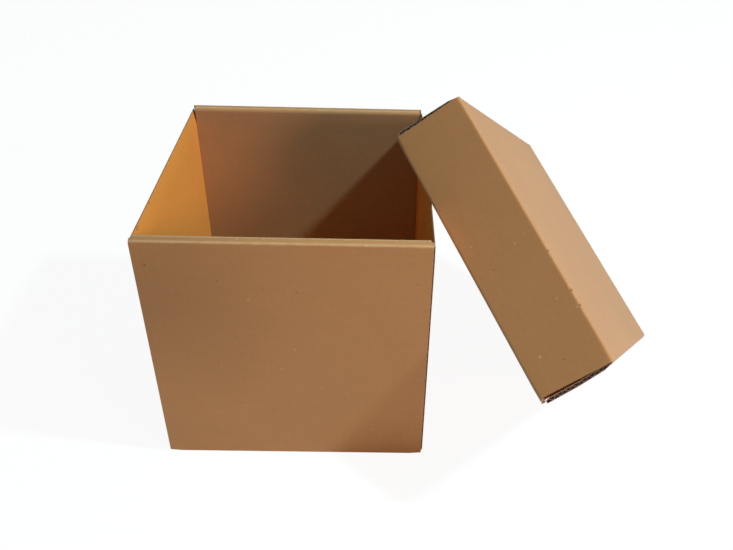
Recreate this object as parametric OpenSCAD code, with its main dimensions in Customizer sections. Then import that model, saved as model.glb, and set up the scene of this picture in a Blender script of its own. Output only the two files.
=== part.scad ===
/* [Base] */
// Outer width of the base, over its two plain side walls
base_w = 206; // [180:1:260]
// Outer depth of the base, over its rolled front and back walls
base_d = 206; // [180:1:260]
// Height of the base, up to the rims of its rolled walls
base_h = 212; // [150:1:225]

/* [Lid] */
// Height of the lid, from its top panel to the rims of its rolled walls
lid_h = 57; // [40:1:75]
// Free space on each side between the base and the lid that slips over it
fit_gap = 1.2; // [0.6:0.1:3]
// Angle by which the lid's lower plain wall stands open
lower_flare = 4.2; // [0:0.2:6]
// Angle by which the lid's upper plain wall stands open
upper_flare = 2; // [0:0.2:6]

/* [Corrugated board] */
// Thickness of the board
board = 2.8; // [2:0.1:3.6]
// Thickness of each liner, and of the wavy sheet between them
paper = 0.4; // [0.3:0.05:0.5]
// Length of one wave of the flutes
flute_pitch = 6.5; // [5:0.1:8]
// Depth to which the flutes are open at a cut edge
flute_depth = 3; // [1:0.5:6]
// Radius inside a fold
fold_r = 0.4; // [0.2:0.1:1]
// Depth to which the creases of the plain walls are pressed in on each side
crease_depth = 0.05; // [0.02:0.01:0.1]
// Air between two layers that lie against each other
layer_gap = 0.2; // [0.1:0.05:0.4]
// Distance by which a rolled wall stops short of the plain walls' outer faces
end_cut = 1.2; // [0.6:0.1:2]

/* [Locking tabs] */
// Width of a locking tab at the foot of a rolled wall
tab_w = 36; // [20:1:50]
// Clearance at each end of a locking tab in its slot
tab_gap = 0.6; // [0.3:0.1:1.5]

/* [Place of the leaning lid] */
// Turn of the lid in the plane of its top panel, so that it stands on a corner
lid_turn = 44.2; // [40:0.2:50]
// Distance by which the lid's highest corner reaches in over the base
lid_overhang = 44; // [25:1:45]
// Place along the base's depth where the lid's lowest corner stands on the floor
lid_foot_y = 2; // [-30:1:30]
// Air where the lid rests on the base's wall
rest_gap = 0.15; // [0.05:0.05:0.3]

/* [Hidden] */

fold_out = board + fold_r;
roll = 3 * board + 2 * layer_gap;
wall_drop = board + layer_gap;
crease_lap = 5;
tab_size = [tab_w, board, 2 * board];
slot_size = tab_size + 2 * [tab_gap, layer_gap, 0];

lid_w = base_w + 2 * (fit_gap + board);
lid_d = base_d + 2 * (fit_gap + roll);

wave_steps = 6;
solve_steps = 40;

// Where the lid comes to rest
// The lid is an open tray turned by lid_turn about its own upright axis, tipped
// by tip so that a rolled rim and a lower plain rim both meet the base's wall,
// and then leaned over about the y axis until its lowest corner is on the floor.

// Half the length of a plain wall, which stands between the outer panels of two rolled walls
function plain_half(d) = d / 2 - fold_out - layer_gap;

// Place of a point of the turned tray across and along the base's wall
function across(p) = p.x * cos(lid_turn) - p.y * sin(lid_turn);
function along(p) = p.x * sin(lid_turn) + p.y * cos(lid_turn);

rest_across = (lid_w * cos(lid_turn) + lid_d * sin(lid_turn)) / 2 - lid_overhang;

rolled_rest_y = roll - fold_out - lid_d / 2;
rolled_rest = [
    (rest_across + rolled_rest_y * sin(lid_turn)) / cos(lid_turn),
    rolled_rest_y,
    lid_h
];

plain_rise = lid_h - wall_drop - fold_out;
plain_rest_x = lid_w / 2 - fold_out + fold_out * cos(upper_flare) + plain_rise * sin(upper_flare);
plain_rest = [
    plain_rest_x,
    (plain_rest_x * cos(lid_turn) - rest_across) / sin(lid_turn),
    fold_out + plain_rise * cos(upper_flare) - fold_r * sin(upper_flare)
];

tip = atan((rolled_rest.z - plain_rest.z) / (along(plain_rest) - along(rolled_rest)));

// Depth of a point of the turned and tipped tray, and its height once leaned
function depth(p) = along(p) * sin(tip) + p.z * cos(tip);
function height(p, lean) = across(p) * sin(lean) - depth(p) * cos(lean);

// Lowest point of the far rolled wall's rim, which is round
rolled_foot = [end_cut - lid_w / 2, lid_d / 2 - fold_out, lid_h - fold_out];
function rolled_low(lean) =
    height(rolled_foot, lean)
    - fold_out * norm([height([0, 1, 0], lean), height([0, 0, 1], lean)]);

// Outer corner of the lower plain wall's rim, which is sharp
plain_foot = [
    fold_out - lid_w / 2 - fold_out * cos(lower_flare) - plain_rise * sin(lower_flare),
    plain_half(lid_d),
    fold_out - fold_out * sin(lower_flare) + plain_rise * cos(lower_flare)
];

function lowest(lean) = min(rolled_low(lean), height(plain_foot, lean));
function rest_height(lean) = height(rolled_rest, lean) - lowest(lean);

wall_top = base_h - wall_drop;
function solve_lean(low, high, steps) =
    let (middle = (low + high) / 2)
    steps == 0 ? middle
    : rest_height(middle) > wall_top + rest_gap ? solve_lean(low, middle, steps - 1)
    : solve_lean(middle, high, steps - 1);
lean = solve_lean(20, 88, solve_steps);

lid_place = [
    base_w / 2 + across(rolled_rest) * cos(lean) + depth(rolled_rest) * sin(lean),
    lid_foot_y - along(rolled_foot) * cos(tip) + rolled_foot.z * sin(tip),
    -lowest(lean)
];

// Section of the board

// Half a wave between a liner and the wavy sheet, as an outline
function flute_outline(width, rise) = [
    for (i = [0 : wave_steps])
        let (s = i / wave_steps)
        [(s - 0.5) * width, rise * sin(180 * s)]
];

// Open flutes along an edge that runs along x with its middle at the origin
module flutes(length) {
    count = floor(length / flute_pitch);
    pitch = length / count;
    half = board / 2 - paper;
    for (i = [0 : count - 1])
        translate([(i + 0.5) * pitch - length / 2, -half])
            polygon(flute_outline(pitch - 2 * paper, 2 * half - paper));
    for (i = [1 : count - 1])
        translate([i * pitch - length / 2, half])
            mirror([0, 1])
                polygon(flute_outline(pitch - 2 * paper, 2 * half - paper));
}

// Cut edge of the board, a strip of its section pushed up along z
module fluted_edge(length) {
    linear_extrude(flute_depth)
        difference() {
            square([length, board], center = true);
            flutes(length);
        }
}

// Part of a ring between two angles, which are less than 180 apart
module ring_section(outer, inner, from, to) {
    middle = (from + to) / 2;
    intersection() {
        difference() {
            circle(outer, $fn = 64);
            circle(inner, $fn = 32);
        }
        polygon([
            [0, 0],
            2 * outer * [cos(from), sin(from)],
            2 * outer * [cos(middle), sin(middle)],
            2 * outer * [cos(to), sin(to)]
        ]);
    }
}

// Section of a fold whose faces run on into the flat board
module fold_section(from, to) {
    ring_section(fold_out, fold_r, from, to);
}

// Section of a pressed crease, which laps into the flat board at both ends
module crease_section(from, to) {
    ring_section(fold_out - crease_depth, fold_r + crease_depth, from - crease_lap, to + crease_lap);
}

// Pushes a section drawn in y and z along x, with its middle at x = 0
module along_x(length) {
    rotate([90, 0, 90])
        linear_extrude(length, center = true)
            children();
}

// A blank folded up into an open tray

module bottom_panel(w, d) {
    translate([fold_out - w / 2, fold_out - d / 2, 0])
        cube([w - 2 * fold_out, d - 2 * fold_out, board]);
}

// Four boxes in line with the rolled walls' inner panels, standing at a given height
module tab_boxes(w, d, size, low) {
    for (side = [-1, 1], end = [-1, 1])
        translate([end * w / 4, side * (d / 2 - roll + board / 2), low + size.z / 2])
            cube(size, center = true);
}

// Rolled wall with its outer face at y = 0: up, over the rim and down inside
module rolled_wall(w, h) {
    outer_w = w - 2 * end_cut;
    inner_w = w - 2 * wall_drop;
    along_x(outer_w) {
        translate([fold_out, fold_out])
            fold_section(180, 270);
        translate([0, fold_out])
            square([board, h - 2 * fold_out]);
        translate([fold_out, h - fold_out])
            fold_section(90, 180);
    }
    translate([0, 0, h - board])
        linear_extrude(board)
            polygon([
                [-outer_w / 2, fold_out],
                [outer_w / 2, fold_out],
                [inner_w / 2, roll - fold_out],
                [-inner_w / 2, roll - fold_out]
            ]);
    along_x(inner_w) {
        translate([roll - fold_out, h - fold_out])
            fold_section(0, 90);
        translate([roll - board, wall_drop])
            square([board, h - fold_out - wall_drop]);
    }
}

// Plain wall on the low x side, leaning out by flare, with open flutes at its two upright edges
module plain_wall(w, d, h, flare) {
    half = plain_half(d);
    flat_half = half - flute_depth;
    top = h - wall_drop - fold_out;
    translate([fold_out - w / 2, 0, fold_out])
        rotate([0, -flare, 0]) {
            rotate([90, 0, 0])
                linear_extrude(2 * half, center = true)
                    crease_section(180, 270 - flare);
            translate([-fold_out, -flat_half, 0])
                cube([board, 2 * flat_half, top]);
            for (side = [-1, 1])
                translate([board / 2 - fold_out, side * flat_half, top / 2])
                    rotate([-90 * side, 90, 0])
                        fluted_edge(top);
        }
}

module tray(w, d, h, flares) {
    bottom_panel(w, d);
    for (side = [0, 1]) {
        mirror([0, side, 0])
            translate([0, -d / 2, 0])
                rolled_wall(w, h);
        mirror([side, 0, 0])
            plain_wall(w, d, h, flares[side]);
    }
}

// The two pieces of the box

// The base's inner panels are locked by tabs that fill slots in its bottom panel
module box_base() {
    color("#a87a4c") {
        difference() {
            tray(base_w, base_d, base_h, [0, 0]);
            tab_boxes(base_w, base_d, slot_size, -board / 2);
        }
        tab_boxes(base_w, base_d, tab_size, layer_gap);
    }
}

// The lid is a shallow tray whose bottom is its top panel, with no slots or tabs
module box_lid() {
    color("#bd8f5e")
        translate(lid_place)
            rotate([0, 180 + lean, 0])
                rotate([tip, 0, 0])
                    rotate([0, 0, lid_turn])
                        tray(lid_w, lid_d, lid_h, [lower_flare, upper_flare]);
}

box_base();
box_lid();
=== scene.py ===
import logging
import math
from dataclasses import dataclass, field
from enum import Enum
from typing import Callable

import bmesh
import bpy
from mathutils import Matrix, Vector


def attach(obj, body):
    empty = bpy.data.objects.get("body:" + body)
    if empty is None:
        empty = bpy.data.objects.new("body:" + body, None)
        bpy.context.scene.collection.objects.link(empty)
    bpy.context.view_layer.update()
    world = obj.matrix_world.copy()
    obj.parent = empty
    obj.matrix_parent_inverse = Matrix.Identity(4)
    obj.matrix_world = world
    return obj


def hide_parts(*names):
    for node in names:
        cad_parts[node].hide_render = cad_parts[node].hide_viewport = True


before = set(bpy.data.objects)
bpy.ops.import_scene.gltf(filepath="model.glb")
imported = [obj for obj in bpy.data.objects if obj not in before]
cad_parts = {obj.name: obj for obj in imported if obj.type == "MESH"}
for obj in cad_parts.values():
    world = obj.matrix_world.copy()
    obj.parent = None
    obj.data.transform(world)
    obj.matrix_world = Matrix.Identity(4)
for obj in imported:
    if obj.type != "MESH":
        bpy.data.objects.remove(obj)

log = logging.getLogger("box")
MM = 0.001
# Places closer to each other than this are the same place
TINY = 1e-6

Colour = tuple[float, float, float, float]
Socket = bpy.types.NodeSocket
Input = Socket | float | tuple[float, ...]
Edges = list[bmesh.types.BMEdge]
Faces = list[bmesh.types.BMFace]


class Side(Enum):
    """The two ends of an axis of a tray."""

    LOW = -1
    HIGH = 1


class Surface(Enum):
    """Material slots of a tray, in their order."""

    OUTER = 0
    INNER = 1
    CUT = 2
    FLUTING = 3


def linear(part: int) -> float:
    """Linear value of one sRGB number of 0 to 255."""
    value = part / 255
    return value / 12.92 if value <= 0.04045 else ((value + 0.055) / 1.055) ** 2.4


def srgb(red: int, green: int, blue: int) -> Colour:
    """Linear colour from sRGB numbers of 0 to 255."""
    return (linear(red), linear(green), linear(blue), 1.0)


def limited(value: float) -> float:
    """A value held between 0 and 1."""
    return min(1.0, max(0.0, value))


def ends(edges: Edges) -> list[bmesh.types.BMVert]:
    """All vertices of some edges, each once and in a fixed order."""
    return list(dict.fromkeys(v for e in edges for v in e.verts))


@dataclass(frozen=True)
class Board:
    """Corrugated board, in metres."""

    thickness: float = 2.8 * MM
    liner: float = 0.42 * MM
    medium: float = 0.32 * MM
    inner_radius: float = 0.4 * MM
    pitch: float = 6.5 * MM
    gap: float = 0.2 * MM
    open_depth: float = 3.0 * MM

    @property
    def fold(self) -> float:
        """Outer radius of a fold."""
        return self.thickness + self.inner_radius

    @property
    def rolled(self) -> float:
        """Thickness of a rolled wall, three boards wide."""
        return 3 * self.thickness + 2 * self.gap

    @property
    def drop(self) -> float:
        """How far one layer lies inside the next."""
        return self.thickness + self.gap


@dataclass(frozen=True)
class Speck:
    """A small mark on a blank, placed in millimetres from the middle of the flat blank."""

    u: float
    v: float
    size: float = 0.9
    pale: bool = True


@dataclass(frozen=True)
class DarkPatch:
    """A wide, faint darker patch of a blank, in millimetres, with its share of darkening."""

    u: float
    v: float
    reach: float
    depth: float


# Scale of the paper's patterns through the board
THROUGH_SCALE = 40
# Raggedness of a speck's edge, its pattern's scale, and the share of a speck that is full
RAG = 1.1 * MM
RAG_SCALE = 900.0
SPECK_CORE = 0.55
# Angle in degrees, scale along and scale across each layer of fibres
FIBRE_LAYERS = ((12, 240, 2600), (-38, 300, 2900), (71, 280, 2700))
# Cells in a metre of paper, a few of which hold a fleck
FLECK_SCALE = 200.0


class Graph:
    """Short way of writing a material's nodes."""

    def __init__(self, name: str) -> None:
        """Starts an empty material.

        Args:
            name: The material's name.
        """
        self.material = bpy.data.materials.new(name)
        self.material.use_nodes = True
        self.tree = self.material.node_tree
        self.tree.nodes.clear()

    def node(self, kind: str, out: str | int = 0, settings: dict | None = None,
             **inputs: Input) -> Socket:
        """Adds a node and gives one of its outputs.

        Args:
            kind: Node type without the ShaderNode prefix.
            out: Name or number of the output.
            settings: Properties of the node.
            **inputs: Values or sockets, named as the input with _ for a space, or i0, i1
                by number.

        Returns:
            The output socket.
        """
        made = self.tree.nodes.new("ShaderNode" + kind)
        for key, value in (settings or {}).items():
            setattr(made, key, value)
        for key, value in inputs.items():
            numbered = key[0] == "i" and key[1:].isdigit()
            socket = made.inputs[int(key[1:]) if numbered else key.replace("_", " ")]
            if isinstance(value, Socket):
                self.tree.links.new(value, socket)
            else:
                socket.default_value = value
        return made.outputs[out]

    def attribute(self, name: str, out: str = "Vector") -> Socket:
        """Reads an attribute of the mesh."""
        return self.node("Attribute", out, {"attribute_name": name})

    def axis(self, vector: Socket, name: str) -> Socket:
        """Gives one axis of a vector, X, Y or Z."""
        return self.node("SeparateXYZ", name, Vector=vector)

    def math(self, operation: str, *values: Input) -> Socket:
        """Adds a Math node of the given operation and gives its output."""
        inputs = {f"i{k}": value for k, value in enumerate(values)}
        return self.node("Math", 0, {"operation": operation}, **inputs)

    def vector(self, operation: str, *values: Input, out: str = "Vector") -> Socket:
        """Adds a Vector Math node of the given operation and gives one of its outputs."""
        inputs = {f"i{k}": value for k, value in enumerate(values)}
        return self.node("VectorMath", out, {"operation": operation}, **inputs)

    def mix(self, factor: Input, low: Input, high: Input, blend: str = "MIX") -> Socket:
        """Adds a colour mix and gives its result."""
        settings = {"data_type": "RGBA", "blend_type": blend}
        return self.node("Mix", 2, settings, i0=factor, i6=low, i7=high)

    def paint(self, under: Input, mask: Input, share: Input, colour: Colour) -> Socket:
        """Lays a colour over another one where a mask says so, by a share of its strength."""
        return self.mix(self.math("MULTIPLY", mask, share), under, colour)

    def shade(self, colour: Colour, tone: Input) -> Socket:
        """Multiplies a colour by a grey tone."""
        grey = self.node("CombineColor", Red=tone, Green=tone, Blue=tone)
        return self.mix(1.0, colour, grey, "MULTIPLY")

    def sway(self, value: Input, noise: Socket, swing: float) -> Socket:
        """Moves a value up and down with a noise, whose mean is a half."""
        return self.math("MULTIPLY_ADD", self.math("SUBTRACT", noise, 0.5), swing, value)

    def ramp(self, value: Socket, low: float, high: float) -> Socket:
        """Maps a value smoothly from low..high to 0..1."""
        return self.node("MapRange", 0, {"interpolation_type": "SMOOTHSTEP"},
                         Value=value, From_Min=low, From_Max=high)

    def noise(self, vector: Socket, scale: float, detail: float, roughness: float) -> Socket:
        """Adds a noise texture and gives its value."""
        return self.node("TexNoise", 0, Vector=vector, Scale=scale, Detail=detail,
                         Roughness=roughness)

    def stretched(self, vector: Socket, turn: float, along: float, across: float) -> Socket:
        """Turns a flat pattern and stretches it, for fibres and streaks.

        Args:
            vector: The coordinates.
            turn: Angle in the plane of the sheet, in degrees.
            along: Scale along the fibres.
            across: Scale across them.

        Returns:
            The changed coordinates.
        """
        turned = self.node("Mapping", Vector=vector, Rotation=(0, 0, math.radians(turn)))
        return self.node("Mapping", Vector=turned, Scale=(along, across, THROUGH_SCALE))

    def flattened(self, blank: Socket) -> Socket:
        """Drops the depth through the board from a place on the blank."""
        return self.vector("MULTIPLY", blank, (1, 1, 0))

    def flute_wave(self, blank: Socket, pitch: float) -> Socket:
        """Wave of -1 to 1 across the blank, as long as a flute."""
        return self.math("SINE", self.math("MULTIPLY", self.axis(blank, "X"), 2 * math.pi / pitch))

    def spot(self, place: Socket, u: float, v: float, outer: float, inner: float) -> Socket:
        """Gives 1 within the inner radius of a point and fades to 0 at the outer one."""
        away = self.vector("DISTANCE", place, (u, v, 0), out="Value")
        return self.ramp(away, outer, inner)

    def marks(self, blank: Socket, specks: tuple[Speck, ...], pale: bool) -> Input:
        """Draws the placed specks of one kind, with ragged edges.

        Args:
            blank: The coordinates on the blank.
            specks: All specks of the sheet.
            pale: Whether the pale specks or the brown ones are drawn.

        Returns:
            A mask that is 1 in a speck, or plain 0 when there are none of the kind.
        """
        warp = self.node("TexNoise", "Color", Vector=blank, Scale=RAG_SCALE)
        place = self.flattened(self.vector("MULTIPLY_ADD", warp, (RAG, RAG, 0), blank))
        mask: Input = 0.0
        for speck in specks:
            if speck.pale is pale:
                spot = self.spot(place, speck.u * MM + RAG / 2, speck.v * MM + RAG / 2,
                                 speck.size * MM, speck.size * SPECK_CORE * MM)
                mask = self.math("MAXIMUM", mask, spot)
        return mask

    def finish(self, shader: Socket) -> bpy.types.Material:
        """Links the shader to the output.

        Args:
            shader: The shader of the whole surface.

        Returns:
            The finished material.
        """
        out = self.tree.nodes.new("ShaderNodeOutputMaterial")
        self.tree.links.new(shader, out.inputs["Surface"])
        return self.material


@dataclass(frozen=True)
class KraftLiner:
    """Paper of the board's face: brown kraft with fibres, flecks, and folds painted pale for wear
    and as painted highlights.

    Beyond a given distance from the blank's middle the paper has a painted shade, darker and
    cooler.
    """

    name: str
    body: Colour
    sheen: float = 0.0
    specks: tuple[Speck, ...] = ()
    # Share of pale paint on worn folds, which also serves as a painted highlight
    rub_and_highlight: float = 0.4
    painted_shade_from: float = 1.0
    dark_patches: tuple[DarkPatch, ...] = ()
    # Darker, cooler tint: painted shade for the inside of the box
    inside_painted_shade: Colour = (0.83, 0.98, 1.25, 1)
    painted_shade_blend: float = 5 * MM
    sheen_tint: Colour = (0.86, 0.94, 1.0, 1)
    fibre_share: float = 0.24
    pale_fibre: Colour = srgb(222, 190, 146)
    brown_fibre: Colour = srgb(112, 74, 42)
    pale_fleck: Colour = srgb(222, 194, 152)
    brown_fleck: Colour = srgb(112, 72, 42)
    # Pale paint of worn folds and of their painted highlights
    worn_highlit_paper: Colour = srgb(230, 196, 150)
    pale_speck: Colour = srgb(236, 212, 172)
    # Brown specks, also used as painted shade of the rim's nicks on the inner face
    brown_speck_and_nick_shade: Colour = srgb(96, 58, 32)

    def tone(self, g: Graph, blank: Socket, mottle: Socket, wave: Socket) -> Socket:
        """Grey tone of the paper: clouds, mottle, streaks, faint flute lines and darker patches.

        Args:
            g: The material's graph.
            blank: The coordinates on the blank.
            mottle: The fine noise.
            wave: The wave of the flutes.

        Returns:
            The tone, about 1.
        """
        streak = g.noise(g.stretched(blank, 0, 26, 240), 1, 3, 0.6)
        tone = g.sway(1.0, g.noise(blank, 9, 3, 0.55), 0.20)
        tone = g.sway(tone, mottle, 0.13)
        tone = g.sway(tone, streak, 0.07)
        tone = g.math("MULTIPLY_ADD", wave, 0.004, tone)
        sheet = g.flattened(blank)
        for dark_patch in self.dark_patches:
            patch = g.spot(sheet, dark_patch.u * MM, dark_patch.v * MM, dark_patch.reach * MM, 0)
            tone = g.math("MULTIPLY", tone, g.math("MULTIPLY_ADD", patch, -dark_patch.depth, 1.0))
        return tone

    def fibres(self, g: Graph, blank: Socket) -> tuple[Socket, Socket]:
        """Fibres that lie in several directions.

        Args:
            g: The material's graph.
            blank: The coordinates on the blank.

        Returns:
            Masks of the pale and of the brown fibres.
        """
        layers = [g.noise(g.stretched(blank, turn, along, across), 1, 2, 0.5)
                  for turn, along, across in FIBRE_LAYERS]
        high = low = layers[0]
        for layer in layers[1:]:
            high, low = g.math("MAXIMUM", high, layer), g.math("MINIMUM", low, layer)
        return g.ramp(high, 0.66, 0.80), g.ramp(low, 0.34, 0.22)

    def flecks(self, g: Graph, blank: Socket, colour: Socket) -> Socket:
        """Lays small flecks over the paper, a brown or a pale one in a few of the cells.

        Args:
            g: The material's graph.
            blank: The coordinates on the blank.
            colour: The paper's colour.

        Returns:
            The colour with its flecks.
        """
        near = g.node("TexVoronoi", "Distance", Vector=blank, Scale=FLECK_SCALE)
        cell = g.node("TexVoronoi", "Color", Vector=blank, Scale=FLECK_SCALE)
        pick = g.node("SeparateColor", 0, Color=cell)
        small = g.ramp(near, 0.11, 0.04)
        colour = g.paint(colour, small, g.ramp(pick, 0.975, 0.985), self.brown_fleck)
        return g.paint(colour, small, g.ramp(pick, 0.025, 0.015), self.pale_fleck)

    def material(self, board: Board) -> bpy.types.Material:
        """Makes the paper's material.

        Args:
            board: The board that the paper covers.

        Returns:
            The material, which reads the sheet's blank attribute and its fold wear with painted
            highlight.
        """
        g = Graph(self.name)
        blank = g.attribute("blank")
        wave = g.flute_wave(blank, board.pitch)
        mottle = g.noise(blank, 330, 5, 0.6)
        pale, brown = self.fibres(g, blank)
        colour = g.shade(self.body, self.tone(g, blank, mottle, wave))
        # Painted shade: past the given distance the paper is tinted darker and cooler
        inside = g.ramp(g.math("ABSOLUTE", g.axis(blank, "Y")),
                        self.painted_shade_from, self.painted_shade_from + self.painted_shade_blend)
        colour = g.mix(inside, colour, g.mix(1.0, colour, self.inside_painted_shade, "MULTIPLY"))
        colour = g.paint(colour, pale, self.fibre_share, self.pale_fibre)
        colour = g.paint(colour, brown, self.fibre_share, self.brown_fibre)
        colour = self.flecks(g, blank, colour)
        # Folds are painted paler, for their wear and as a painted highlight along their crests
        wear_and_highlight = g.math("MULTIPLY", g.attribute("wear_and_highlight", "Fac"),
                      g.sway(1.0, g.noise(blank, 140, 4, 0.7), 0.5))
        colour = g.paint(colour, g.ramp(wear_and_highlight, 0.72, 1.05), self.rub_and_highlight, self.worn_highlit_paper)
        colour = g.paint(colour, g.marks(blank, self.specks, False), 0.5, self.brown_speck_and_nick_shade)
        colour = g.paint(colour, g.marks(blank, self.specks, True), 0.42, self.pale_speck)
        height = g.math("MULTIPLY_ADD", mottle, 0.30, g.math("MULTIPLY", pale, 0.35))
        height = g.math("MULTIPLY_ADD", wave, 0.10, height)
        return g.finish(g.node(
            "BsdfPrincipled", Base_Color=colour, Roughness=g.sway(0.74, mottle, 0.16),
            Normal=g.node("Bump", Strength=0.35, Distance=0.12 * MM, Height=height),
            Specular_IOR_Level=0.3, Sheen_Weight=self.sheen, Sheen_Roughness=0.4,
            Sheen_Tint=self.sheen_tint))


@dataclass(frozen=True)
class CutPaper:
    """Cut edge of the board: pale liners, fluting over a painted shade of its hollows, and nicks
    painted dark as shade.
    """

    name: str
    liner: Colour
    shade: Colour
    specks: tuple[Speck, ...] = ()
    flute: Colour = srgb(150, 118, 88)
    pale_grain: Colour = srgb(228, 206, 172)
    # Painted shade of the rim's small nicks
    nick_shade: Colour = srgb(62, 42, 34)
    pale_nick: Colour = srgb(220, 200, 172)

    def material(self, board: Board) -> bpy.types.Material:
        """Makes the cut edge's material.

        Args:
            board: The board that is cut.

        Returns:
            The material, which reads the depth through the board from the blank attribute.
        """
        g = Graph(self.name)
        blank = g.attribute("blank")
        grain = g.noise(blank, 700, 4, 0.7)
        rag = g.sway(g.axis(blank, "Z"), grain, 0.12)
        rag = g.sway(rag, g.noise(blank, 90, 3, 0.6), 0.16)
        from_middle = g.math("SUBTRACT", rag, 0.5)
        wave = g.math("MULTIPLY", g.flute_wave(blank, board.pitch), 0.30)
        line = g.math("ABSOLUTE", g.math("SUBTRACT", from_middle, wave))
        colour = g.mix(g.ramp(line, 0.12, 0.05), self.shade, self.flute)
        colour = g.mix(g.ramp(g.math("ABSOLUTE", from_middle), 0.32, 0.38), colour, self.liner)
        colour = g.paint(colour, g.ramp(grain, 0.58, 0.72), 0.35, self.pale_grain)
        # Dark nicks painted as shade, then pale nicks
        colour = g.mix(g.marks(blank, self.specks, False), colour, self.nick_shade)
        colour = g.paint(colour, g.marks(blank, self.specks, True), 0.4, self.pale_nick)
        return g.finish(g.node(
            "BsdfPrincipled", Base_Color=colour, Roughness=0.92, Specular_IOR_Level=0.15,
            Normal=g.node("Bump", Strength=0.6, Distance=0.2 * MM, Height=grain)))


@dataclass(frozen=True)
class FlutingPaper:
    """Wavy paper between the liners."""

    name: str
    body: Colour

    def material(self) -> bpy.types.Material:
        """Makes the fluting's material.

        Returns:
            The material, which reads Object coordinates.
        """
        g = Graph(self.name)
        grain = g.noise(g.node("TexCoord", "Object"), 900, 4, 0.65)
        return g.finish(g.node(
            "BsdfPrincipled", Base_Color=g.shade(self.body, g.sway(1.0, grain, 0.5)),
            Roughness=0.9, Specular_IOR_Level=0.2,
            Normal=g.node("Bump", Strength=0.4, Distance=0.1 * MM, Height=grain)))


class Blank:
    """Outer face of a sheet of board that is folded up edge by edge.

    Each vertex keeps its flat place, its lean with a plain wall and its wear and painted
    highlight.
    """

    CELLS = 22

    def __init__(self, width: float, depth: float, cuts_x: list[float],
                 cuts_y: list[float]) -> None:
        """Lays the panel in the middle of the blank.

        Args:
            width: Its size along x.
            depth: Its size along y.
            cuts_x: Places along x where an edge is needed.
            cuts_y: Places along y where an edge is needed.
        """
        self.bm = bmesh.new()
        self.flat = self.bm.verts.layers.float_vector.new("blank")
        self.lean = self.bm.verts.layers.float.new("lean")
        self.wear_and_highlight = self.bm.verts.layers.float.new("wear_and_highlight")
        bmesh.ops.create_grid(self.bm, x_segments=self.CELLS, y_segments=self.CELLS, size=0.5)
        wide = 2 * max(v.co.x for v in self.bm.verts)
        bmesh.ops.scale(self.bm, vec=(width / wide, depth / wide, 1), verts=self.bm.verts)
        for axis, cuts in enumerate((cuts_x, cuts_y)):
            for cut in cuts:
                where, normal = Vector((0, 0, 0)), Vector((0, 0, 0))
                where[axis], normal[axis] = cut, 1
                bmesh.ops.bisect_plane(
                    self.bm, geom=[*self.bm.verts, *self.bm.edges, *self.bm.faces],
                    dist=TINY, plane_co=where, plane_no=normal)
        for v in self.bm.verts:
            v[self.flat] = (v.co.x, v.co.y, 0)

    def rim(self, inside: Callable[[Vector], bool]) -> Edges:
        """Open edges whose two ends pass the test."""
        return [e for e in self.bm.edges if e.is_boundary and all(inside(v.co) for v in e.verts)]

    def fold(self, edges: Edges, pivot: Vector, axis: Vector, angle: float, flat: Vector,
             lean: float = 0.0, steps: int = 8, worn: float = 0.3,
             fading: bool = False) -> Edges:
        """Bends the sheet on from some open edges.

        Args:
            edges: The open edges.
            pivot: A point of the fold's axis.
            axis: The fold's axis.
            angle: The whole angle, in radians.
            flat: Way in which the sheet runs on when flat, with the length of the arc.
            lean: What the vertices' lean grows by over the whole fold.
            steps: Number of steps.
            worn: Wear and painted highlight in the middle of the fold, or where it starts.
            fading: Whether the fold is most worn and most highlit where it starts.

        Returns:
            The last edges.
        """
        for step in range(steps):
            made = bmesh.ops.spin(self.bm, geom=[*edges, *ends(edges)], cent=pivot, axis=axis,
                                  angle=angle / steps, steps=1, use_duplicate=False)
            edges = [e for e in made["geom_last"] if isinstance(e, bmesh.types.BMEdge)]
            turned = math.pi * (step + 1) / steps
            share = math.cos(turned / 2) if fading else math.sin(turned)
            for v in ends(edges):
                v[self.flat] = v[self.flat] + flat / steps
                v[self.lean] += lean / steps
                v[self.wear_and_highlight] = worn * share
        return edges

    def extend(self, edges: Edges, run: Vector, flat: Vector, steps: int,
               worn: float = 0.0) -> Edges:
        """Runs the sheet straight on from some open edges.

        Args:
            edges: The open edges.
            run: The whole way.
            flat: The same way on the flat sheet.
            steps: Number of rows.
            worn: Wear and painted highlight of the new rows.

        Returns:
            The last edges.
        """
        for _ in range(steps):
            made = bmesh.ops.extrude_edge_only(self.bm, edges=edges)["geom"]
            verts = [v for v in made if isinstance(v, bmesh.types.BMVert)]
            edges = [e for e in made if isinstance(e, bmesh.types.BMEdge) and e.is_boundary
                     and all(v in verts for v in e.verts)]
            bmesh.ops.translate(self.bm, vec=run / steps, verts=verts)
            for v in verts:
                v[self.flat] = v[self.flat] + flat / steps
                v[self.wear_and_highlight] = worn
        return edges

    def widen(self, edges: Edges, factor: float) -> None:
        """Scales the vertices of some edges along x."""
        for v in ends(edges):
            v.co.x *= factor

    def thicken(self, thickness: float) -> None:
        """Gives the sheet its thickness inwards, and marks cut faces and the depth through it.

        Args:
            thickness: The board's thickness.
        """
        bmesh.ops.recalc_face_normals(self.bm, faces=self.bm.faces)
        low = min(self.bm.faces, key=lambda f: f.calc_center_median().z)
        if low.normal.z > 0:
            bmesh.ops.reverse_faces(self.bm, faces=self.bm.faces)
        old_faces, old_verts = set(self.bm.faces), set(self.bm.verts)
        made = bmesh.ops.solidify(self.bm, geom=list(self.bm.faces), thickness=thickness)["geom"]
        inner = {v for v in made if isinstance(v, bmesh.types.BMVert)}
        for v in old_verts - inner:
            v[self.flat] = (*v[self.flat][:2], 1.0)
        liners = {f for f in made if isinstance(f, bmesh.types.BMFace)}
        liners |= old_faces & set(self.bm.faces)
        for f in self.bm.faces:
            on_inner = {v in inner for v in f.verts}
            kind = Surface.INNER if True in on_inner else Surface.OUTER
            if len(on_inner) > 1 or f not in liners:
                kind = Surface.CUT
            f.material_index = kind.value


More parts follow.
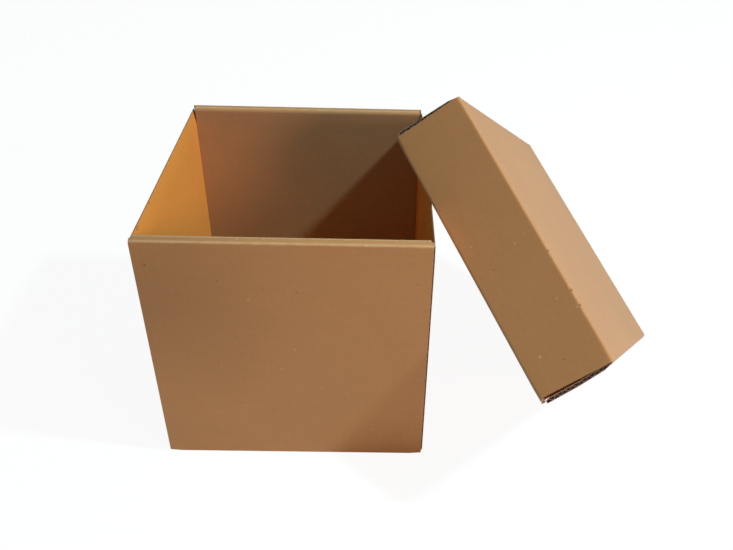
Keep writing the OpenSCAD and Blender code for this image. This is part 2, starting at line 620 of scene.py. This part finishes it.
@dataclass
class FoldedTray:
    """An open tray folded from one blank, rolled walls at its y ends, plain walls at its x ends.

    The tray stands on its panel, and place carries it to where it lies in the frame. Flares are
    the angles by which its plain walls stand open. Crush is the share of the board's thickness
    that is lost at their cut rims, and tight says how square the near folds are pressed.
    """

    node: str
    slot: str
    width: float
    depth: float
    height: float
    flares: tuple[float, float] = (0.0, 0.0)
    tabs: bool = False
    rows: int = 20
    # Pale paint on the folds, for wear and as painted highlights: the bottom crease and the rim's
    # two folds
    crease_wear_and_highlight: float = 0.3
    rim_wear_and_highlight: tuple[float, float] = (1.0, 1.0)
    place: Matrix = field(default_factory=lambda: Matrix.Identity(4))
    board: Board = Board()
    end_cut: float = 1.2 * MM
    crush: float = 0.75
    crush_depth: float = 12 * MM
    crush_plane: float = 0.3 * MM
    tight: float = 4.0
    tight_fade: float = 8 * MM
    near_reach: float = 1.15
    tab: float = 36 * MM
    tab_gap: float = 0.6 * MM
    sharp: float = math.radians(32)

    def __post_init__(self) -> None:
        """Works out the sizes that follow from the board."""
        b = self.board
        self.x = self.width / 2 - b.fold
        self.y = self.depth / 2 - b.fold
        self.half = self.depth / 2 - b.fold - b.gap
        self.outer_w = self.width - 2 * self.end_cut
        self.inner_w = self.width - 2 * b.drop
        self.arc = b.fold * math.pi / 2

    def panel(self) -> Blank:
        """Lays the panel, with edges where walls, slots and tabs need them.

        Returns:
            The blank, of which only the panel is there yet.
        """
        cuts_x: list[float] = []
        cuts_y = [-self.half, self.half]
        if self.tabs:
            b = self.board
            for side in Side:
                for edge in (-1, 1):
                    middle = side.value * self.width / 4
                    cuts_x.append(middle + edge * self.tab / 2)
                    cuts_x.append(middle + edge * (self.tab / 2 + self.tab_gap))
                cuts_y.append(side.value * (self.depth / 2 - b.rolled - b.gap))
                cuts_y.append(side.value * (self.depth / 2 - b.rolled + b.thickness + b.gap))
        sheet = Blank(2 * self.x, 2 * self.y, cuts_x, cuts_y)
        if self.tabs:
            holes = [f for f in sheet.bm.faces if self.in_slot(f.calc_center_median())]
            bmesh.ops.delete(sheet.bm, geom=holes, context="FACES")
        return sheet

    def in_slot(self, p: Vector) -> bool:
        """Says whether a point of the panel lies in a slot for a tab.

        Args:
            p: The point.

        Returns:
            True inside a slot.
        """
        b = self.board
        across = abs(abs(p.x) - self.width / 4) < self.tab / 2 + self.tab_gap
        inner = self.depth / 2 - b.rolled
        return across and inner - b.gap < abs(p.y) < inner + b.thickness + b.gap

    def in_tab(self, p: Vector) -> bool:
        """Whether a point of an inner panel's foot lies within the width of a tab."""
        return abs(abs(p.x) - self.width / 4) < (self.tab + self.tab_gap) / 2

    def rolled_wall(self, sheet: Blank, side: Side) -> None:
        """Folds a wall up, over its rim and down inside.

        Args:
            sheet: The blank.
            side: Which y end.
        """
        b, s, x_axis = self.board, side.value, Vector((1, 0, 0))
        quarter, arc = s * math.pi / 2, Vector((0, s * self.arc, 0))
        top = self.height - b.fold

        edges = sheet.rim(lambda p: p.z < TINY and abs(p.y - s * self.y) < TINY)
        pivot = Vector((0, s * self.y, b.fold))
        edges = sheet.fold(edges, pivot, x_axis, quarter / 8, arc / 8, steps=1, worn=0.0)
        sheet.widen(edges, self.outer_w / (2 * self.x))
        edges = sheet.fold(edges, pivot, x_axis, quarter * 7 / 8, arc * 7 / 8, steps=7,
                           worn=self.crease_wear_and_highlight)
        upright = self.height - 2 * b.fold
        edges = sheet.extend(edges, Vector((0, 0, upright)), Vector((0, s * upright, 0)),
                             self.rows)

        edges = sheet.fold(edges, Vector((0, s * self.y, top)), x_axis, quarter, arc,
                           worn=self.rim_wear_and_highlight[0])
        band = b.rolled - 2 * b.fold
        edges = sheet.extend(edges, Vector((0, -s * band, 0)), Vector((0, s * band, 0)), 1,
                             self.rim_wear_and_highlight[1])
        sheet.widen(edges, self.inner_w / self.outer_w)
        pivot = Vector((0, s * (self.depth / 2 - b.rolled + b.fold), top))
        edges = sheet.fold(edges, pivot, x_axis, quarter, arc, worn=self.rim_wear_and_highlight[1],
                           fading=True)

        down = top - b.drop
        edges = sheet.extend(edges, Vector((0, 0, -down)), Vector((0, s * down, 0)), self.rows)
        if self.tabs:
            tabs = [e for e in edges if all(self.in_tab(v.co) for v in e.verts)]
            sheet.extend(tabs, Vector((0, 0, -b.thickness)), Vector((0, s * b.thickness, 0)), 1)

    def plain_wall(self, sheet: Blank, side: Side) -> None:
        """Folds a single wall up between the rolled walls.

        Args:
            sheet: The blank.
            side: Which x end.
        """
        b, s = self.board, side.value
        edges = sheet.rim(lambda p: p.z < TINY and abs(p.x - s * self.x) < TINY
                          and abs(p.y) < self.half + TINY)
        edges = sheet.fold(edges, Vector((s * self.x, 0, b.fold)), Vector((0, 1, 0)),
                           -s * math.pi / 2, Vector((s * self.arc, 0, 0)), s)
        below = self.height - b.drop - b.fold - self.crush_depth
        for rise, rows in ((below, self.rows), (self.crush_depth, 1)):
            edges = sheet.extend(edges, Vector((0, 0, rise)), Vector((s * rise, 0, 0)), rows)

    def follow_walls(self, sheet: Blank) -> None:
        """Widens the rolled walls' inner panels until they reach the plain walls.

        The near wall is widened from the rim's outer fold on, the far one only from its band.

        Args:
            sheet: The blank.
        """
        b = self.board
        end_of_fold = self.y + 2 * self.arc + self.height - 2 * b.fold
        for v in sheet.bm.verts:
            lead, reach = 0.0, b.rolled - 2 * b.fold
            if v[sheet.flat].y < 0:
                lead, reach = self.arc, self.near_reach * self.arc
            passed = min(1.0, (abs(v[sheet.flat].y) - end_of_fold + lead) / reach)
            if passed > 0 and abs(v.co.x) > TINY:
                flare = self.flares[int(v.co.x > 0)]
                end = self.x + b.inner_radius * math.cos(flare) - b.gap
                end += max(0.0, v.co.z - b.fold) * math.sin(flare)
                v.co.x *= 1 + passed * (2 * end / self.inner_w - 1)

    def open_edges(self, sheet: Blank) -> None:
        """Opens the flutes at the plain walls' upright edges, where the board is cut across.

        Args:
            sheet: The thickened blank.
        """
        b = self.board
        rise = self.height - b.drop - b.fold
        for side in Side:
            for end in Side:
                s, t = side.value, end.value
                middle = Vector((s * (self.width / 2 - b.thickness / 2), t * self.half,
                                 b.fold + rise / 2))
                turn = (Matrix.Rotation(-t * math.pi / 2, 4, "X")
                        @ Matrix.Rotation(t * math.pi / 2, 4, "Z"))
                self.flutes(sheet, self.cut_edge(sheet, s, t), rise,
                            Matrix.Translation(middle) @ turn, s)

    def cut_edge(self, sheet: Blank, s: int, t: int) -> Faces:
        """Faces of a plain wall's upright cut edge.

        Args:
            sheet: The thickened blank.
            s: Which x end the wall is at.
            t: Which y end of the wall the edge is at.

        Returns:
            The faces.
        """
        square, close = 0.9, 0.01 * MM
        found = []
        for f in sheet.bm.faces:
            middle = f.calc_center_median()
            if (t * f.normal.y > square and abs(middle.y - t * self.half) < close
                    and middle.z > self.board.fold
                    and s * middle.x > self.width / 2 - self.board.thickness):
                found.append(f)
        return found

    def flutes(self, sheet: Blank, faces: Faces, run: float, place: Matrix,
               lean: float) -> None:
        """Sinks a trough between the liners of a cut edge and sets the wavy paper in it.

        Args:
            sheet: The thickened blank.
            faces: The faces of the cut edge.
            run: The edge's length.
            place: Carries a strip along x, with its top at z = 0, to the edge.
            lean: The lean of the wall that the edge belongs to.
        """
        facets, clear, hair = 8, 0.05 * MM, 0.02 * MM
        b, bm = self.board, sheet.bm
        bmesh.ops.inset_region(bm, faces=faces, thickness=b.liner, use_even_offset=True)
        bmesh.ops.inset_region(bm, faces=faces, thickness=0.0, depth=-b.open_depth)
        waves = round(run / b.pitch)
        made = bmesh.ops.create_grid(bm, x_segments=facets * waves, y_segments=2,
                                     size=0.5)["verts"]
        wide = 2 * max(v.co.x for v in made)
        bmesh.ops.scale(bm, vec=((run - 2 * b.liner) / wide,
                                 (b.open_depth - 2 * clear) / wide, 1), verts=made)
        bmesh.ops.rotate(bm, matrix=Matrix.Rotation(math.pi / 2, 3, "X"), verts=made)
        bmesh.ops.translate(bm, vec=(0, 0, -b.open_depth / 2 - clear), verts=made)
        swing = b.thickness / 2 - b.liner - b.medium / 2 - hair
        for v in made:
            v.co.y = swing * math.sin(2 * math.pi * waves * (v.co.x / run + 0.5)) - b.medium / 2
        strip_faces = list(dict.fromkeys(f for v in made for f in v.link_faces))
        bmesh.ops.recalc_face_normals(bm, faces=strip_faces)
        back = bmesh.ops.solidify(bm, geom=strip_faces, thickness=b.medium)["geom"]
        strip = {v for v in back if isinstance(v, bmesh.types.BMVert)} | set(made)
        for v in strip:
            v[sheet.lean] = lean
            for f in v.link_faces:
                f.material_index = Surface.FLUTING.value
        bmesh.ops.transform(bm, matrix=place, verts=list(strip))

    def crush_rims(self, sheet: Blank) -> None:
        """Presses the board together towards the outer face along the plain walls' cut rims.

        Args:
            sheet: The thickened blank.
        """
        start = self.height - self.board.drop - self.crush_depth
        above_fold = 0.999
        for v in sheet.bm.verts:
            if abs(v[sheet.lean]) > above_fold:
                outside = math.copysign(self.width / 2 - self.crush_plane, v[sheet.lean])
                pressed = self.crush * limited((v.co.z - start) / self.crush_depth)
                v.co.x = outside + (v.co.x - outside) * (1 - pressed)

    def press_folds(self, sheet: Blank) -> None:
        """Presses the near rolled wall's folds to a tighter bend outside, less at their ends.

        Args:
            sheet: The thickened blank.
        """
        b, power = self.board, self.tight
        rim = self.y + self.arc + self.height - 2 * b.fold
        for v in sheet.bm.verts:
            for start, height in ((self.y, b.fold), (rim, self.height - b.fold)):
                away = v.co - Vector((v.co.x, -self.y, height))
                in_fold = 0 < -v[sheet.flat].y - start < self.arc
                if in_fold and away.length > (b.inner_radius + b.fold) / 2:
                    way = away.normalized()
                    longer = (abs(way.y) ** power + abs(way.z) ** power) ** (-1 / power)
                    inside = limited((self.outer_w / 2 - abs(v.co.x)) / self.tight_fade)
                    v.co += away * (longer - 1) * inside

    def flare(self, sheet: Blank) -> None:
        """Leans the plain walls outwards about their folds.

        Args:
            sheet: The thickened blank.
        """
        for v in sheet.bm.verts:
            lean = v[sheet.lean]
            if abs(lean) > TINY:
                pivot = Vector((math.copysign(self.x, lean), 0, self.board.fold))
                turn = Matrix.Rotation(self.flares[int(lean > 0)] * lean, 3, "Y")
                v.co = pivot + turn @ (v.co - pivot)

    def settle(self, p: Vector) -> Vector:
        """Small uneven bend of the board at a point of the tray; subclasses add their own."""
        return Vector((0, 0, 0))

    def build(self, finishes: list[bpy.types.Material]) -> bpy.types.Object:
        """Folds the tray, opens its cut edges, lays it in its place and dresses it.

        Args:
            finishes: Materials in the order of Surface.

        Returns:
            The tray's object.
        """
        sheet = self.panel()
        for side in Side:
            self.rolled_wall(sheet, side)
            self.plain_wall(sheet, side)
        self.follow_walls(sheet)
        sheet.thicken(self.board.thickness)
        self.open_edges(sheet)
        self.crush_rims(sheet)
        self.press_folds(sheet)
        self.flare(sheet)
        for v in sheet.bm.verts:
            v.co += self.settle(v.co.copy())
        bmesh.ops.transform(sheet.bm, matrix=self.place, verts=sheet.bm.verts)
        bmesh.ops.recalc_face_normals(sheet.bm, faces=sheet.bm.faces)
        mesh = bpy.data.meshes.new(self.node + "_board")
        sheet.bm.to_mesh(mesh)
        sheet.bm.free()
        mesh.shade_smooth()
        mesh.set_sharp_from_angle(angle=self.sharp)
        piece = bpy.data.objects.new(self.node + "_board", mesh)
        bpy.context.scene.collection.objects.link(piece)
        for finish in finishes:
            mesh.materials.append(finish)
        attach(piece, "root")
        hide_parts(self.node)
        log.info("%s: %d faces", piece.name, len(mesh.polygons))
        return piece


@dataclass
class Base(FoldedTray):
    """The box's base, whose right wall leans in a little at the back."""

    rolled_bow: float = 0.5 * MM
    plain_bow: float = 0.4 * MM
    lean_in: float = 2.4 * MM

    def settle(self, p: Vector) -> Vector:
        """Bows the walls inwards by less than a millimetre and leans the right wall in.

        Args:
            p: The point, in the tray's own frame.

        Returns:
            How far the point moves.
        """
        across, along, up = p.x / self.width, p.y / self.depth, p.z / self.height
        bow = math.sin(math.pi * limited(up))
        by_rolled = abs(2 * along) ** 8 * math.cos(math.pi * across)
        by_plain = abs(2 * across) ** 8 * math.cos(math.pi * along)
        lean = self.lean_in * max(0.0, 2 * across) ** 3 * up * (0.5 + along) ** 2
        return Vector((-math.copysign(self.plain_bow, p.x) * bow * by_plain - lean,
                       -math.copysign(self.rolled_bow, p.y) * bow * by_rolled, 0))


@dataclass
class Lid(FoldedTray):
    """The lid, a shallow tray that leans on the base's wall and stands on a corner."""

    bulge: float = 1.1 * MM
    bulge_fade: float = 5 * MM
    rim_fade: float = 22 * MM
    sink: float = 0.5 * MM
    sink_below: float = 4 * MM

    def settle(self, p: Vector) -> Vector:
        """Lets the panel sink inwards and the plain walls' near ends bulge by a millimetre.

        Args:
            p: The point, in the tray's own frame.

        Returns:
            How far the point moves.
        """
        across, along = 2 * p.x / self.width, 2 * p.y / self.depth
        b, outward, inward = self.board, 0.0, 0.0
        in_walls = abs(p.x) > self.x - b.fold and abs(p.y) < self.half + b.gap / 2
        if in_walls and p.z > b.fold:
            low = limited((p.z - b.fold) / self.bulge_fade)
            below_rim = limited((self.height - self.bulge_fade - p.z) / self.rim_fade)
            high = 1.0 if p.x > 0 else below_rim
            outward = math.copysign(self.bulge, p.x) * low * high * (0.5 - along / 2)
        if p.z < self.sink_below:
            inward = self.sink * max(0.0, 1 - across * across) * max(0.0, 1 - along * along)
        return Vector((outward, 0, inward))


@dataclass(frozen=True)
class Lamp:
    """A soft disc lamp that looks at the object.

    Its level is the light on a surface that faces it, where 1 shows a colour as written.
    """

    name: str
    away: tuple[float, float, float]
    size: float
    level: tuple[float, float, float]
    distance: float = 2.2
    aim: tuple[float, float, float] = (0.1, 0, 0.1)

    def hang(self) -> None:
        """Hangs the lamp so that it looks at the object."""
        data = bpy.data.lights.new(self.name, "AREA")
        data.shape = "DISK"
        data.size = self.size
        data.energy = max(self.level) * math.pi ** 2 * self.distance ** 2
        data.color = [part / max(self.level) for part in self.level]
        lamp = bpy.data.objects.new(self.name, data)
        away = Vector(self.away).normalized()
        lamp.location = Vector(self.aim) + away * self.distance
        lamp.rotation_mode = "QUATERNION"
        lamp.rotation_quaternion = (-away).to_track_quat("-Z", "Y")
        bpy.context.scene.collection.objects.link(lamp)


@dataclass
class Studio:
    """Camera, lamps, floor and surroundings.

    The focal length, the principal point and the frame's size are in pixels. The floor adds
    glow to what it reflects where the camera sees it, and is plain pale grey for the light.
    """

    eye: Vector = field(default_factory=lambda: Vector((66.1, -506.1, 510.9)) * MM)
    yaw: float = math.radians(1.19)
    pitch: float = math.radians(33.35)
    roll: float = math.radians(1.75)
    focal: float = 753.6
    principal: tuple[float, float] = (394.9, 203.5)
    frame_size: tuple[int, int] = (733, 550)
    sensor: float = 36
    sky: tuple[float, float, float] = (0.09, 0.135, 0.14)
    lamps: tuple[Lamp, ...] = (
        Lamp("key", (0.62, -0.14, 0.80), 0.16, (0.60, 0.735, 0.765)),
        Lamp("top", (0.15, 0.3, 0.95), 1.2, (0.05, 0.05, 0.055)),
        Lamp("side", (0.66, -0.62, 0.42), 0.6, (0.335, 0.195, 0.165)),
    )
    floor_radius: float = 6.0
    floor_grey: Colour = (0.8, 0.8, 0.8, 1)
    floor_seen: Colour = (0.1, 0.1, 0.1, 1)
    floor_glow: float = 0.93

    def camera(self) -> None:
        """Sets the camera where the photograph was taken from."""
        data = bpy.data.cameras.new("camera")
        width, height = self.frame_size
        data.sensor_width = self.sensor
        data.lens = self.sensor * self.focal / width
        data.shift_x = (width / 2 - self.principal[0]) / width
        data.shift_y = (self.principal[1] - height / 2) / width
        forward = Vector((math.sin(self.yaw) * math.cos(self.pitch),
                          math.cos(self.yaw) * math.cos(self.pitch), -math.sin(self.pitch)))
        level = forward.cross(Vector((0, 0, 1))).normalized()
        over = level.cross(forward)
        right = math.cos(self.roll) * level + math.sin(self.roll) * over
        up = math.cos(self.roll) * over - math.sin(self.roll) * level
        turn = Matrix((right, up, -forward)).transposed()
        camera = bpy.data.objects.new("camera", data)
        camera.matrix_world = Matrix.Translation(self.eye) @ turn.to_4x4()
        bpy.context.scene.collection.objects.link(camera)
        bpy.context.scene.camera = camera

    def surroundings(self) -> None:
        """Makes the world a faint sky that the camera sees as white."""
        world = bpy.data.worlds.new("studio")
        bpy.context.scene.world = world
        world.use_nodes = True
        nodes, links = world.node_tree.nodes, world.node_tree.links
        nodes.clear()
        path, mix = nodes.new("ShaderNodeLightPath"), nodes.new("ShaderNodeMixShader")
        links.new(path.outputs["Is Camera Ray"], mix.inputs[0])
        for place, colour in ((1, (*self.sky, 1)), (2, (1, 1, 1, 1))):
            light = nodes.new("ShaderNodeBackground")
            light.inputs["Color"].default_value = colour
            links.new(light.outputs[0], mix.inputs[place])
        links.new(mix.outputs[0], nodes.new("ShaderNodeOutputWorld").inputs[0])

    def floor(self) -> None:
        """Lays a wide pale floor that keeps a faint shadow."""
        bm = bmesh.new()
        bmesh.ops.create_circle(bm, cap_ends=True, radius=self.floor_radius, segments=64)
        mesh = bpy.data.meshes.new("floor")
        bm.to_mesh(mesh)
        bm.free()
        floor = bpy.data.objects.new("floor", mesh)
        bpy.context.scene.collection.objects.link(floor)
        g = Graph("floor_white")
        glow = g.node("Emission", Color=(1, 1, 1, 1), Strength=self.floor_glow)
        seen = g.node("AddShader", i0=g.node("BsdfDiffuse", Color=self.floor_seen), i1=glow)
        mesh.materials.append(g.finish(g.node(
            "MixShader", i0=g.node("LightPath", "Is Camera Ray"),
            i1=g.node("BsdfDiffuse", Color=self.floor_grey), i2=seen)))

    def build(self) -> None:
        """Sets up the whole studio."""
        self.camera()
        for lamp in self.lamps:
            lamp.hang()
        self.surroundings()
        self.floor()
        bpy.context.scene.view_settings.view_transform = "Standard"


OUTER_KRAFT = srgb(202, 147, 93)
INNER_KRAFT = srgb(226, 151, 67)

BASE_SPECKS = (
    Speck(-25.4, -264.1), Speck(4.5, -216.8, 1.0), Speck(-6.2, -197.0, 0.8),
    Speck(22.4, -177.3, 0.8), Speck(60.9, -130.3, 0.8), Speck(-29.5, -316.5, 1.0),
    Speck(-12.3, -317.5, 1.1), Speck(55.0, -313.0),
    Speck(-91.7, -293.6, 1.0, False), Speck(7.7, -271.2, 0.8, False),
    Speck(70.6, -211.1, 0.7, False), Speck(-36.4, -226.9, 0.8, False),
)
# The front is darker towards its upper left
BASE_DARK_PATCHES = (DarkPatch(-98, -264, 128, 0.2),)
# The dark marks on the rims are painted shade of small nicks
RIM_SPECKS = (
    Speck(-310.6, -82.3, 1.2, False), Speck(-310.6, -51.0, 1.3, False),
    Speck(-310.6, -97.0, 1.6), Speck(310.6, -97.0, 1.6), Speck(310.6, 96.0, 1.2),
)
# Painted shade of the left rim's nicks where they reach the inner face
INSIDE_NICK_SHADE = (
    Speck(-308.6, -82.3, 1.5, False), Speck(-309.2, -79.8, 1.1, False),
    Speck(-309.0, -51.0, 1.3, False),
)
LID_SPECKS = (
    Speck(-7.1, -129.5), Speck(-80.3, -153.3, 1.2), Speck(-52.5, -123.6, 0.8),
    Speck(6.5, -158.2, 0.7), Speck(-63.4, -114.6),
    Speck(-88.8, -139.6, 0.8, False), Speck(-22.6, -112.6, 1.1, False),
    Speck(-52.3, -112.4, 1.3, False), Speck(-63.4, -112.4, 1.2, False),
)

# The leaning lid as in the part: turn, tip and lean in degrees, and place in millimetres
LID_TURN, LID_TIP, LID_LEAN = 44.2, 2.10699, 51.80656
LID_PLACE = (215.507, -0.975, 155.807)


def lid_place() -> Matrix:
    """Works out how the lid lies: turned, tipped, put upside down and leaned over.

    Returns:
        The matrix that carries the lid from its panel to its place.
    """
    turned = Matrix.Rotation(math.radians(LID_TURN), 4, "Z")
    tipped = Matrix.Rotation(math.radians(LID_TIP), 4, "X")
    leaned = Matrix.Rotation(math.radians(180 + LID_LEAN), 4, "Y")
    return Matrix.Translation(Vector(LID_PLACE) * MM) @ leaned @ tipped @ turned


def main() -> None:
    """Builds the studio and the two pieces."""
    logging.basicConfig(level=logging.INFO, format="%(message)s")
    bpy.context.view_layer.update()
    Studio().build()

    board, lid_board = Board(), Board(open_depth=1.6 * MM)
    inside = KraftLiner("kraft_inside", INNER_KRAFT, specks=INSIDE_NICK_SHADE).material(board)
    fluting = FlutingPaper("fluting_paper", srgb(172, 144, 126)).material()
    # The base's inner panels carry the painted shade of the inside of the box
    base_paper = KraftLiner("kraft_base_outside", OUTER_KRAFT, sheen=0.22, specks=BASE_SPECKS,
                            rub_and_highlight=0.55, painted_shade_from=318 * MM, dark_patches=BASE_DARK_PATCHES)
    base_cut = CutPaper("cut_base", srgb(164, 132, 102), srgb(118, 92, 70), RIM_SPECKS)
    # Both papers paint their folds pale, for wear and as painted highlights; the lid's more
    # strongly
    lid_paper = KraftLiner("kraft_lid_outside", OUTER_KRAFT, sheen=0.38, specks=LID_SPECKS,
                           rub_and_highlight=0.65)
    # Painted light: the lid's cut edges are paler than the base's, to light them where they lie in
    # shade
    lid_cut_painted_paler = CutPaper("cut_lid", srgb(202, 168, 144), srgb(144, 116, 98))

    base = Base("box_base", "kraft_base", 206 * MM, 206 * MM, 212 * MM, tabs=True, board=board)
    base.build([base_paper.material(board), inside, base_cut.material(board), fluting])
    lid = Lid("box_lid", "kraft_lid", 214 * MM, 226 * MM, 57 * MM,
              flares=(math.radians(4.2), math.radians(2)), rows=8, crease_wear_and_highlight=0.8,
              rim_wear_and_highlight=(1.0, 0.4), crush=0.3, crush_depth=2 * MM, board=lid_board,
              place=lid_place())
    lid.build([lid_paper.material(board), inside, lid_cut_painted_paler.material(board), fluting])


if __name__ == "__main__":
    main()
